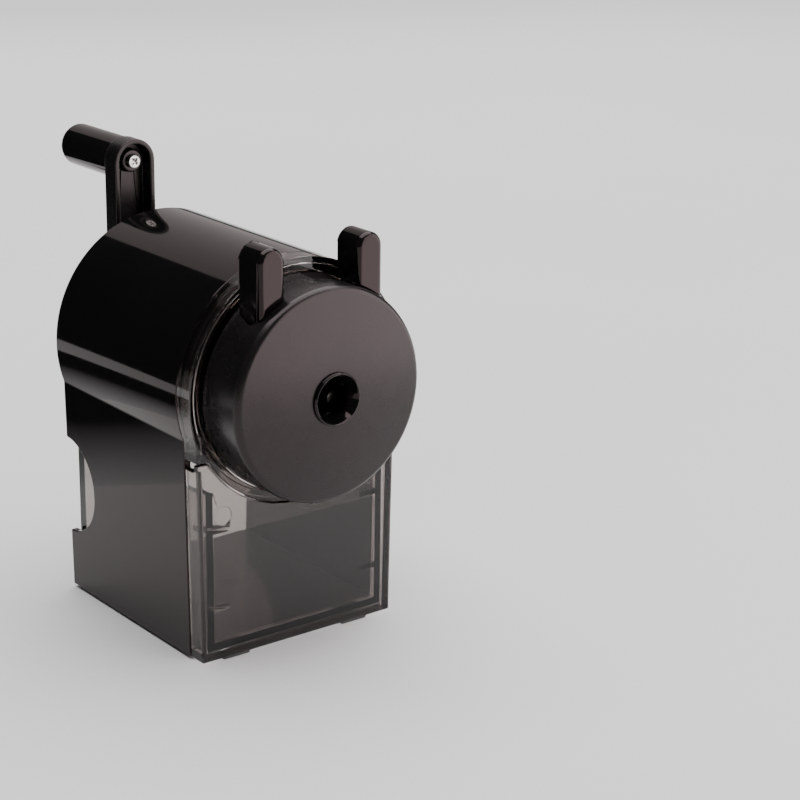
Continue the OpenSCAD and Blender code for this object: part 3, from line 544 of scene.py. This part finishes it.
def area(name, centre, facing, size, radiance, colour=(1, 1, 1)):
    """A soft box that faces a point and has one radiance all over."""
    data = bpy.data.lights.new(name, "AREA")
    data.shape = "RECTANGLE"
    data.size, data.size_y = size
    data.energy = radiance * math.pi * size[0] * size[1]
    data.color = colour
    obj = bpy.data.objects.new(name, data)
    bpy.context.scene.collection.objects.link(obj)
    obj.location = centre
    obj.rotation_euler = (Vector(facing) - Vector(centre)).to_track_quat("-Z", "Y").to_euler()
    obj.visible_camera = False


def heading(azimuth, elevation, distance):
    """A point seen from MID; the azimuth is from +Y towards +X."""
    a, e = math.radians(azimuth), math.radians(elevation)
    return MID + distance * Vector((math.sin(a) * math.cos(e), math.cos(a) * math.cos(e), math.sin(e)))


def reflected_only(obj):
    for ray in ("camera", "diffuse", "transmission", "shadow", "volume_scatter"):
        setattr(obj, "visible_" + ray, False)


def card(name, azimuth, width, low, high, distance, material):
    """A card that stands upright facing the object, and is seen only in reflections."""
    a = math.radians(azimuth)
    middle = Vector((math.sin(a), math.cos(a), 0)) * distance
    side = Vector((math.cos(a), -math.sin(a), 0)) * width / 2
    foot, top = Vector((0, 0, low)), Vector((0, 0, high))
    corners = [middle - side + foot, middle + side + foot, middle + side + top, middle - side + top]
    reflected_only(stage_mesh(name, corners, material))


def fading_card(name, azimuth, width, near, far, strength, lift):
    """A card lying just above the floor, that fades from its near edge to black at its far edge: a painted
    shadow on the floor, seen only in reflections.
    """
    g = glow(name, strength)
    fade = g.add("ShaderNodeMapRange")
    fade.inputs["From Min"].default_value = near
    fade.inputs["From Max"].default_value = far
    fade.inputs["To Min"].default_value = strength
    fade.inputs["To Max"].default_value = 0.0
    split = g.add("ShaderNodeSeparateXYZ")
    g.link(g.coords, split.inputs["Vector"])
    g.link(split.outputs["Y"], fade.inputs["Value"])
    g.feed("Emission Strength", fade.outputs["Result"])
    half = width / 2
    corners = [(-half, near, lift), (half, near, lift), (half, far, lift), (-half, far, lift)]
    obj = stage_mesh(name, corners, g.mat)
    obj.rotation_euler = (0, 0, math.radians(-azimuth))
    reflected_only(obj)


stage_mesh("floor", [(-FLOOR_HALF, -FLOOR_HALF, 0), (FLOOR_HALF, -FLOOR_HALF, 0),
                     (FLOOR_HALF, FLOOR_HALF, 0), (-FLOOR_HALF, FLOOR_HALF, 0)], floor_material())

area("top_box", (0.5, 0.3, 2.2), (0.5, 0.3, 0), size=(3.2, 2.8), radiance=4.0)
area("back_box", heading(23.5, 26, 1.0), MID, size=(1.42, 0.80), radiance=0.55, colour=(1.0, 0.86, 0.87))
area("front_box", heading(140, 12, 1.0), MID, size=(0.8, 0.44), radiance=4.0, colour=(1.0, 0.93, 0.93))

# A black flag stands beside the casing's left side wall, with a white band across it
FLAG_AZIMUTH = -36
FLAG_W = 0.20
FLAG_AT = 0.166
FLAG_GAP = 0.002
# painted shade: in reflections, the floor darkens towards the flag's foot as though the flag shadowed it
fading_card("flag_foot", FLAG_AZIMUTH, FLAG_W, near=0.108, far=FLAG_AT + FLAG_GAP, strength=1.0, lift=0.0004)
card("front_card", 142, 0.5, low=0.0, high=0.35, distance=0.32,
     material=glow("front_card", 3.4, (1.0, 0.92, 0.92)).mat)
card("flag", FLAG_AZIMUTH, FLAG_W, low=0.0, high=0.30, distance=FLAG_AT, material=glow("black_card", 0.02).mat)
card("flag_band", FLAG_AZIMUTH, FLAG_W, low=0.023, high=0.040, distance=FLAG_AT - FLAG_GAP,
     material=glow("white_card", 1.2).mat)

world = bpy.data.worlds.new("studio")
world.use_nodes = True
bpy.context.scene.world = world
backdrop = world.node_tree.nodes["Background"]
backdrop.inputs["Color"].default_value = (1, 1, 1, 1)
backdrop.inputs["Strength"].default_value = 0.1
